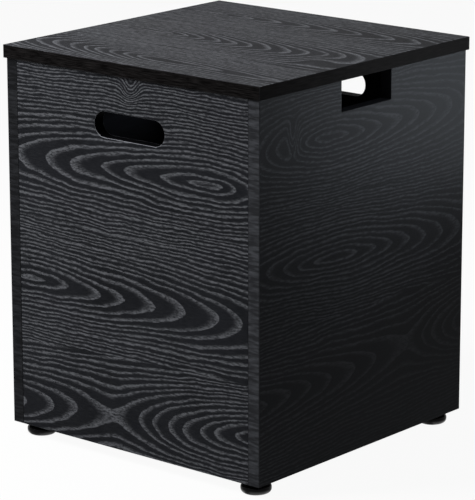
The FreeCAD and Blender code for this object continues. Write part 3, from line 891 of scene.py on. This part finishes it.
class TANK_OT_materials(bpy.types.Operator):
    """Builds the shared node groups and every material"""
    bl_idname = "tank_table.materials"
    bl_label = "Materials"

    def execute(self, context):
        build_figure_row()
        build_ring_count()
        build_growth_rings()
        build_grain_lines()
        build_edge_wear()
        build_dust()
        build_streaks()
        build_pebble()
        build_board_material("front_board", "X", "Z", 1.0, 1.0, 0.03)
        build_board_material("back_board", "X", "Z", 1.0, 1.0, 0.03)
        # The right board has the same foil as the others, painted darker: painted shade on that
        # side.
        build_board_material("right_board", "Y", "Z", 0.5, 0.46, 0.033)
        build_board_material("left_board", "Y", "Z", 1.0, 1.0, 0.03)
        # The lid has the same foil as the walls, painted paler: painted light on the top.
        build_board_material("lid_top", "X", "Y", 1.75, 1.55, 0.006)
        build_band_material("level_band", (45.0, 45.0, 900.0), "lid_band", 1.0, 7.0, 0.004)
        # One band in two copies: painted darker on the left as painted shade, paler on the right
        # as painted light.
        for side, painted_shading in (("left", 0.42), ("right", 1.1)):
            build_band_material(f"{side}_upright_band", (40.0, 40.0, 270.0), "wall_band", painted_shading,
                                3.4, 0.02)
        # One black paint in two copies: darker in the slots as painted shade, with a strong pale
        # rim as a painted highlight; paler at the notch and the other cut faces as painted light.
        build_cut_edge_material("slot_edge", 0.25, 7.0)
        build_cut_edge_material("notch_edge", 1.6, 1.5)
        build_backing_material()
        build_batten_material()
        build_powder_material()
        build_plastic_material()
        build_zinc_material()
        build_beech_material()
        return {"FINISHED"}


class TANK_OT_walls(bpy.types.Operator):
    """Builds the four wall boards and the bands on the side boards' ends"""
    bl_idname = "tank_table.walls"
    bl_label = "Walls"

    def execute(self, context):
        sizes = context.scene.tank_table_boards
        for side, shape_board, axis, outward, cut_edge in (
                ("front", handle_panel_shape, 1, -1, "slot_edge"),
                ("back", handle_panel_shape, 1, 1, "slot_edge"),
                ("left", side_panel_shape, 0, -1, "notch_edge"),
                ("right", side_panel_shape, 0, 1, "notch_edge")):
            board = shape_board(side, sizes)
            finish_board(board, axis, outward)
            new_piece(f"{side}_board", board, f"{side}_board", "cabinet",
                      [f"{side}_panel"], (cut_edge, "board_backing"))
            for end in ("front", "back") if axis == 0 else ():
                new_band(f"{side}_{end}_edge_band", f"{side}_panel_{end}_band",
                         f"{side}_upright_band", "cabinet", sizes, 2)
        return {"FINISHED"}


class TANK_OT_lid(bpy.types.Operator):
    """Builds the lid board with its four edge bands"""
    bl_idname = "tank_table.lid"
    bl_label = "Lid"

    def execute(self, context):
        sizes = context.scene.tank_table_boards
        board = box_mesh(*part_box("lid_board"))
        round_edges(board, sizes.arris / 3, 1)
        finish_board(board, 2, 1)
        new_piece("lid_top_board", board, "lid_top", "lid", ["lid_board"],
                  ("notch_edge", "board_backing"))
        for side in ("front", "right", "back", "left"):
            new_band(f"lid_{side}_edge_band", f"lid_{side}_band", "level_band", "lid", sizes, 3)
        return {"FINISHED"}


def screw_shape(place, toward, sizes):
    """A countersunk screw's head with its driver cross; toward is where its face looks."""
    radius, edge, depth = sizes.head / 2, 0.2 * MM, 2.1 * MM
    head = turned_mesh([(0, 0), (radius - edge, 0), (radius, -edge), (radius, -0.5 * MM),
                        (radius * 0.5, -depth), (0, -depth)], 0, 0, 40)
    half = 0.45 * MM
    for across, along in ((sizes.cross, half), (half, sizes.cross)):
        head = carve(head, box_mesh((-across, -along, -1.1 * MM), (across, along, 1 * MM)))
    smooth_curves(head, 30)
    bmesh.ops.transform(head, matrix=Matrix.Translation(place) @ turn_to(toward),
                        verts=head.verts)
    return head


class TANK_OT_cleats(bpy.types.Operator):
    """Builds the two battens that locate the lid, with their screws"""
    bl_idname = "tank_table.cleats"
    bl_label = "Lid cleats"

    def execute(self, context):
        sizes = context.scene.tank_table_boards
        screws = context.scene.tank_table_fixings
        for side, outward in (("front", -1), ("back", 1)):
            node = f"lid_{side}_cleat"
            low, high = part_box(node)
            batten = box_mesh(low, high)
            outer = low.y if outward < 0 else high.y
            round_edges(batten, sizes.cleat_bevel, 1, 1.0, lambda edge: all(
                abs(v.co.y - outer) < SAME_PLACE and abs(v.co.z - low.z) < SAME_PLACE
                for v in edge.verts))
            round_edges(batten, sizes.arris, 2)
            new_piece(f"lid_{side}_batten", batten, "batten_stain", "lid", [node])
            middle = (low.y + high.y) / 2
            heads = [screw_shape((x, middle, low.z - 0.1 * MM), (0, 0, -1), screws)
                     for x in (-screws.cleat_spacing, 0, screws.cleat_spacing)]
            new_piece(f"lid_{side}_batten_screws", join_meshes(*heads), "powder_coat", "lid")
        return {"FINISHED"}


class TANK_OT_corner_plates(bpy.types.Operator):
    """Builds the corner plates with their screws"""
    bl_idname = "tank_table.corner_plates"
    bl_label = "Corner plates"

    def execute(self, context):
        screws = context.scene.tank_table_fixings
        for corner in CORNERS:
            node = f"corner_plate_{corner}"
            shape = bmesh.new()
            shape.from_mesh(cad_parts[node].data)
            bmesh.ops.remove_doubles(shape, verts=shape.verts, dist=MERGED)
            join_flat_faces(shape)
            low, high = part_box(node)
            round_edges(shape, screws.plate_edge, 2)
            new_piece(f"{corner}_plate", shape, "powder_coat", "cabinet", [node])
            sign_x = 1 if "right" in corner else -1
            sign_y = 1 if "back" in corner else -1
            wall_low, wall_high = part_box("front_panel")[0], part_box("back_panel")[1]
            corner_x = sign_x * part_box("right_panel")[1].x
            corner_y = sign_y * max(-wall_low.y, wall_high.y)
            heads = []
            for reach in (screws.plate_near, screws.plate_far):
                for dx, dy in ((reach, screws.plate_line), (screws.plate_line, reach)):
                    heads.append(screw_shape((corner_x - sign_x * dx, corner_y - sign_y * dy,
                                              low.z - 0.4 * MM), (0, 0, -1), screws))
            new_piece(f"{corner}_plate_screws", join_meshes(*heads), "powder_coat", "cabinet")
        return {"FINISHED"}


def quarter_round(centre_r, centre_z, radius, start, steps=8):
    """Points on a profile's quarter round, from its starting angle in degrees."""
    turns = [math.radians(start + 90 * i / steps) for i in range(steps + 1)]
    return [(centre_r + radius * math.cos(turn), centre_z + radius * math.sin(turn))
            for turn in turns]


class TANK_OT_feet(bpy.types.Operator):
    """Builds the moulded foot pads and their threaded stems"""
    bl_idname = "tank_table.feet"
    bl_label = "Feet"

    def execute(self, context):
        sizes = context.scene.tank_table_feet
        for corner in CORNERS:
            self.build_pad(corner, sizes)
            self.build_stem(corner, sizes)
        return {"FINISHED"}

    def build_pad(self, corner, sizes):
        """A round pad, hollowed below, with a dish in its top and a collar round the stem."""
        low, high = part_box(f"foot_pad_{corner}")
        stem_low, stem_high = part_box(f"foot_stem_{corner}")
        rim, top = (high.x - low.x) / 2, high.z
        bore = (stem_high.x - stem_low.x) / 2 + 0.3 * MM
        dish, edge = top - sizes.dish_depth, 0.3 * MM
        profile = [(0.0, 1.2 * MM), (rim * 0.45, 1.2 * MM), (rim * 0.5, 0.0)]
        profile += quarter_round(rim - sizes.lower_round, sizes.lower_round,
                                 sizes.lower_round, -90)
        profile += quarter_round(rim - sizes.upper_round, top - sizes.upper_round,
                                 sizes.upper_round, 0)
        profile += [(sizes.dish_radius, top), (sizes.dish_radius - 0.6 * MM, dish),
                    (bore + 2.2 * MM, dish), (bore + 1.8 * MM, top - 0.2 * MM),
                    (bore + 1.2 * MM, top), (bore + edge, top), (bore, top - edge),
                    (bore, stem_low.z), (0.0, stem_low.z)]
        shape = turned_mesh(profile, (low.x + high.x) / 2, (low.y + high.y) / 2, 112)
        smooth_curves(shape, 32)
        new_piece(f"{corner}_foot_pad", shape, "moulded_plastic", f"foot_pad_{corner}",
                  [f"foot_pad_{corner}"])

    def build_stem(self, corner, sizes):
        """A thread swept as one helix of a V-shaped profile, on a core with turned ends."""
        low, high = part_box(f"foot_stem_{corner}")
        x, y = (low.x + high.x) / 2, (low.y + high.y) / 2
        radius = (high.x - low.x) / 2
        root = radius - sizes.thread_depth
        pitch = sizes.thread_pitch
        start, tip, edge = low.z + sizes.stem_plain, 1.2 * MM, 0.4 * MM
        turns = int((high.z - start - tip) / pitch) - 1
        thread = turned_mesh([(root, start), (radius, start + pitch * 0.42),
                              (radius, start + pitch * 0.58), (root, start + pitch)],
                             x, y, 26, turns, pitch)
        smooth_curves(thread, 25)
        core = turned_mesh([(0, low.z), (radius - edge, low.z), (radius, low.z + edge),
                            (radius, start - edge), (root, start + edge),
                            (root, high.z - edge), (root - 0.6 * MM, high.z), (0, high.z)],
                           x, y, 40)
        # The driver's slot in the stem's upper end.
        core = carve(core, box_mesh((x - radius, y - 0.7 * MM, high.z - 2 * MM),
                                    (x + radius, y + 0.7 * MM, high.z + 1 * MM)))
        smooth_curves(core, 30)
        new_piece(f"{corner}_foot_stem", join_meshes(core, thread), "zinc_plate",
                  f"foot_stem_{corner}", [f"foot_stem_{corner}"])


class TANK_OT_fittings(bpy.types.Operator):
    """Gives the cam locks, cam bolts and dowels their finish"""
    bl_idname = "tank_table.fittings"
    bl_label = "Joint fittings"

    def execute(self, context):
        paint_node("cam_locks", "zinc_plate")
        paint_node("cam_bolts", "zinc_plate")
        paint_node("dowels", "beech")
        return {"FINISHED"}


WHITE = (1.0, 1.0, 1.0)
COOL = (0.90, 0.95, 1.0)
# Each softbox: its setting, side in metres, place, where it points, its spread in degrees
# and its colour.
LIGHTS = (("key", 1.0, (-1.1, -1.3, 1.6), (0, 0, 0.3), 180, WHITE),
          ("fill", 0.15, (1.5, 0.03, 0.75), (0.2, 0.03, 0.42), 26, COOL),
          ("rim", 0.28, (0.46, 0.52, 0.38), (0.2, 0.15, 0.48), 50, COOL),
          ("back", 0.6, (0.1, 2.2, 0.42), (0.0, 0.2, 0.25), 60, WHITE))


class TANK_OT_stage(bpy.types.Operator):
    """Builds the pale floor, the soft studio lights, the white surround and the camera"""
    bl_idname = "tank_table.stage"
    bl_label = "Studio"

    def execute(self, context):
        settings = context.scene.tank_table_stage
        self.build_floor(context, settings)
        self.build_world(context, settings)
        self.build_lights(context, settings)
        self.build_camera(context, settings)
        context.scene.view_settings.view_transform = "Standard"
        return {"FINISHED"}

    def build_floor(self, context, settings):
        sheet = bmesh.new()
        bmesh.ops.create_grid(sheet, x_segments=4, y_segments=4, size=settings.floor_size / 2)
        # A tenth of a millimetre low, so that it doesn't lie in the foot pads' own faces.
        bmesh.ops.translate(sheet, vec=(0, 0, -0.1 * MM), verts=sheet.verts)
        floor = add_object("studio_floor", mesh_data("studio_floor", sheet))
        w = Surface("studio_floor")
        tone = w.blend(w.noise(w.place, scale=3.0, detail=3.0), 0.3, 0.7,
                       w.tint("floor", 0.985), w.tint("floor"))
        w.give({"Base Color": tone, "Roughness": 0.9, "Specular IOR Level": 0.0})
        path = w.add("ShaderNodeLightPath").outputs
        seen = w.math("MAXIMUM", path["Is Camera Ray"], path["Is Glossy Ray"])
        glow = w.add("ShaderNodeEmission", {"Color": (1, 1, 1, 1), "Strength": 1.0}).outputs[0]
        lit = w.mix_shaders(w.times(seen, 0.94), w.shader.outputs[0], glow)
        # From below, the sheet is clear, so that the table's underside can be looked at.
        below = w.add("ShaderNodeNewGeometry").outputs["Backfacing"]
        clear = w.add("ShaderNodeBsdfTransparent").outputs[0]
        w.feed(w.find("OUTPUT_MATERIAL").inputs["Surface"], w.mix_shaders(below, lit, clear))
        floor.data.materials.append(w.material)

    def build_world(self, context, settings):
        world = bpy.data.worlds.new("studio")
        world.use_nodes = True
        context.scene.world = world
        w = Wiring(world.node_tree)
        path = w.add("ShaderNodeLightPath").outputs
        seen = w.math("MAXIMUM", w.math("MAXIMUM", path["Is Camera Ray"], path["Is Glossy Ray"]),
                      path["Is Transmission Ray"])
        background = w.find("BACKGROUND").inputs
        w.feed(background["Color"], (1, 1, 1, 1))
        w.feed(background["Strength"], w.spread(seen, 0.0, 1.0, settings.ambient, 1.0))

    def build_lights(self, context, settings):
        for name, size, place, target, spread, tone in LIGHTS:
            light = bpy.data.lights.new(f"{name}_softbox", "AREA")
            light.energy = getattr(settings, name)
            light.shape = "SQUARE"
            light.size = size
            light.spread = math.radians(spread)
            light.color = tone
            lamp = add_object(light.name, light)
            lamp.location = place
            looks = Vector(target) - Vector(place)
            lamp.rotation_euler = looks.to_track_quat("-Z", "Y").to_euler()
            lamp.visible_glossy = name == "rim"
            lamp.visible_camera = False

    def build_camera(self, context, settings):
        lens = bpy.data.cameras.new("photo_camera")
        lens.sensor_width = 36.0
        lens.lens = settings.lens
        lens.clip_end = 100.0
        camera = add_object("photo_camera", lens)
        camera.location = settings.camera_place
        turn = (Matrix.Rotation(settings.yaw, 3, "Z")
                @ Matrix.Rotation(math.pi / 2 - settings.pitch, 3, "X")
                @ Matrix.Rotation(settings.roll, 3, "Z"))
        camera.rotation_euler = turn.to_euler()
        context.scene.camera = camera


class TANK_PT_panel(bpy.types.Panel):
    """Lists the pieces and the studio"""
    bl_idname = "TANK_PT_panel"
    bl_label = "Tank cover table"
    bl_space_type = "VIEW_3D"
    bl_region_type = "UI"
    bl_category = "Tank table"

    def draw(self, context):
        column = self.layout.column(align=True)
        for operator in OPERATORS:
            column.operator(operator.bl_idname)
        for name, group in SETTINGS:
            box = self.layout.box()
            box.label(text=group.__name__)
            settings = getattr(context.scene, name)
            for key in group.__annotations__:
                box.prop(settings, key)


OPERATORS = (TANK_OT_materials, TANK_OT_walls, TANK_OT_lid, TANK_OT_cleats,
             TANK_OT_corner_plates, TANK_OT_feet, TANK_OT_fittings, TANK_OT_stage)
SETTINGS = (("tank_table_boards", BoardSizes), ("tank_table_feet", FootSizes),
            ("tank_table_fixings", FixingSizes), ("tank_table_colours", Colours),
            ("tank_table_stage", StageSettings))


def register():
    for name, group in SETTINGS:
        bpy.utils.register_class(group)
        setattr(bpy.types.Scene, name, PointerProperty(type=group))
    for operator in OPERATORS:
        bpy.utils.register_class(operator)
    bpy.utils.register_class(TANK_PT_panel)


def unregister():
    bpy.utils.unregister_class(TANK_PT_panel)
    for operator in reversed(OPERATORS):
        bpy.utils.unregister_class(operator)
    for name, group in reversed(SETTINGS):
        delattr(bpy.types.Scene, name)
        bpy.utils.unregister_class(group)


def main():
    register()
    bpy.ops.tank_table.materials()
    bpy.ops.tank_table.walls()
    bpy.ops.tank_table.lid()
    bpy.ops.tank_table.cleats()
    bpy.ops.tank_table.corner_plates()
    bpy.ops.tank_table.feet()
    bpy.ops.tank_table.fittings()
    bpy.ops.tank_table.stage()


if __name__ == "__main__":
    main()
